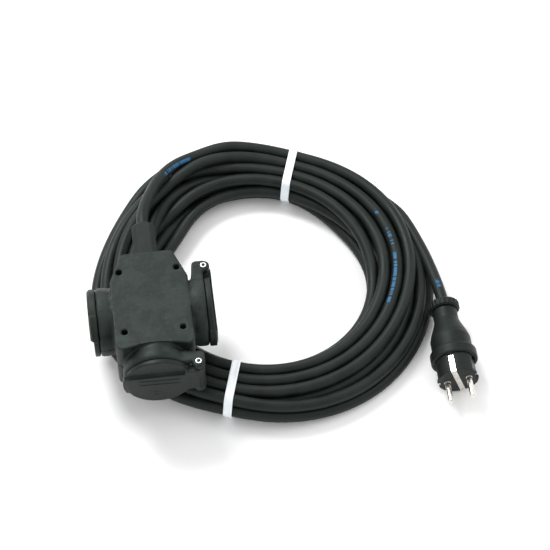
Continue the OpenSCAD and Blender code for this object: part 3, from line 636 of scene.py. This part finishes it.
# The wedge's outline on the plate, (x, y) in millimetres, its point first
PLATE_RAMP = [(1.8, -9), (-12, -43.3), (-5, -42.7), (4, -42.6), (14, -43.7)]
RAMP_RISE = 0.45 * MM
RAMP_SUNK = 0.6 * MM        # how deep the wedge reaches into the plate
LID_FACE = -66.3            # the end lid's face, millimetres in front of the origin
LID_RIBS = [((-19, 33.6), (19.6, 32)), ((-19.2, 28), (19.4, 26.4))]
LID_MARK = (-2.7, 14.4)
RIVET_MOUTH_R = 1.6         # millimetres


def attach(thing, body, slot_name):
    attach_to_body(thing, body)
    paint(thing, slot_name)


def plate_ramp():
    """A very low wedge on the plate that rises towards the end outlet."""
    n = len(PLATE_RAMP)
    rises = [0.02 * MM] + [RAMP_RISE] * (n - 1)
    low = [(x * MM, y * MM, PLATE_Z - RAMP_SUNK) for x, y in PLATE_RAMP]
    top = [(x * MM, y * MM, PLATE_Z + rise) for (x, y), rise in zip(PLATE_RAMP, rises)]
    faces = [(0, k, k + 1) for k in range(n - 2, 0, -1)]
    faces += [(n, n + k, n + k + 1) for k in range(1, n - 1)]
    faces += [(k, (k + 1) % n, n + (k + 1) % n, n + k) for k in range(n)]
    ramp = mesh_object("plate_ramp", low + top, faces)
    ease_edges(ramp, 0.25 * MM, 3)
    attach(ramp, "root", "plate_rubber")


def bar_on_lid(verts, faces, start, end, half, rise):
    """Adds a low rounded rib on the end lid's face between two (x, z) places."""
    a, b = Vector((start[0], 0, start[1])) * MM, Vector((end[0], 0, end[1])) * MM
    across = (b - a).normalized().cross(Vector((0, 1, 0)))
    n, first = 9, len(verts)
    for i in range(25):
        t = i / 24
        taper = min(1.0, 8 * t + 0.15, 8 * (1 - t) + 0.15)
        for k in range(n):
            turn = math.pi * k / (n - 1)
            q = a + (b - a) * t + across * (half * math.cos(turn) * taper)
            verts.append((q.x, (LID_FACE + 0.25) * MM - rise * math.sin(turn) * taper, q.z))
    for i in range(24):
        for k in range(n - 1):
            c = first + i * n + k
            faces.append((c, c + 1, c + n + 1, c + n))


def lid_marks():
    """Two plain ribs and a small round mark moulded on the end lid."""
    verts, faces = [], []
    for start, end in LID_RIBS:
        bar_on_lid(verts, faces, start, end, 0.7 * MM, 0.75 * MM)
    first, steps = len(verts), 28
    profile = [(2.0, 0.3), (2.15, -0.15), (2.5, -0.35), (2.85, -0.15), (3.0, 0.3)]
    for i in range(steps):
        turn = 2 * math.pi * i / steps
        for radius, level in profile:
            verts.append(((LID_MARK[0] + radius * math.cos(turn)) * MM, (LID_FACE + level) * MM,
                          (LID_MARK[1] + radius * math.sin(turn)) * MM))
    n = len(profile)
    for i in range(steps):
        for k in range(n - 1):
            c, d = first + i * n + k, first + (i + 1) % steps * n + k
            faces.append((c, c + 1, d + 1, d))
    marks = mesh_object("lid_end_marks", verts, faces)
    attach(marks, "end_lid", "lid_rubber")


def paint_rivet_bore_shade(name, place):
    """A dark disc over a hollow rivet's mouth, just above its flange: painted shade that stands for the
    shadow deep in the bore.
    """
    x, y, z = place
    steps = 20
    verts = [(x * MM, y * MM, (z - 0.02) * MM)]
    for i in range(steps):
        turn = 2 * math.pi * i / steps
        verts.append(((x + RIVET_MOUTH_R * math.cos(turn)) * MM,
                      (y + RIVET_MOUTH_R * math.sin(turn)) * MM, z * MM))
    faces = [(0, i + 1, (i + 1) % steps + 1) for i in range(steps)]
    attach(mesh_object(name, verts, faces), "root", "socket_plastic")


plate_ramp()
lid_marks()
# painted shade: dark discs in the hollow rivets' mouths stand for the shadow in their bores
paint_rivet_bore_shade("rivet_bore_shade_right", (47.4, 34, 48.82))
paint_rivet_bore_shade("rivet_bore_shade_end", (34, -60.4, 48.82))

for name in ("housing_front", "housing_back"):
    soften(frame["nodes"][name], 0.8 * MM, 10)
soften(frame["nodes"]["cable_boot"], 0.5 * MM, 12)
for name in ("lid_right", "lid_left", "lid_end"):
    soften(frame["nodes"][name], 0.5 * MM, 6)
soften(frame["nodes"]["plug_body"], 0.5 * MM, 6)
soften(frame["nodes"]["plug_gland_nut"], 0.3 * MM, 3)
soften(frame["nodes"]["plug_insert"], 0.4 * MM, 2)
for name in ("plug_pin_line", "plug_pin_neutral", "plug_earth_strap"):
    ease_edges(frame["nodes"][name], 0.25 * MM)
for name in ("hinge_pin_right", "hinge_pin_left", "hinge_pin_end"):
    ease_edges(frame["nodes"][name], 0.2 * MM)

# ---------- floor and light ----------


def make_floor():
    side = 6
    floor = mesh_object("floor", [(-side, -side, FLOOR_Z), (side, -side, FLOOR_Z), (side, side, FLOOR_Z),
                                  (-side, side, FLOOR_Z)], [(0, 1, 2, 3)])
    n = Nodes("floor", Roughness=0.9)
    n.colour(n.mix(n.range(n.noise(9, 3), 0.3, 0.7, 0.0, 1.0), (0.92, 0.92, 0.92), (0.94, 0.94, 0.94)))
    floor.data.materials.append(n.material)


def make_light(name, place, size, power):
    data = bpy.data.lights.new(name, "AREA")
    data.size = size
    data.energy = power
    light = bpy.data.objects.new(name, data)
    light.location = place
    light.rotation_mode = "QUATERNION"
    light.rotation_quaternion = (Vector(place) - Vector((0.1, 0.05, 0))).to_track_quat("Z", "Y")
    bpy.context.scene.collection.objects.link(light)


def make_world():
    world = bpy.data.worlds.new("studio")
    world.use_nodes = True
    background = world.node_tree.nodes["Background"]
    background.inputs["Color"].default_value = (1, 1, 1, 1)
    background.inputs["Strength"].default_value = 0.93
    bpy.context.scene.world = world


make_floor()
make_light("key", (-0.6, 1.3, 1.7), 0.8, 38)
make_light("fill", (1.3, 0.2, 1.5), 1.4, 8)
make_world()
bpy.context.scene.view_settings.view_transform = "Standard"
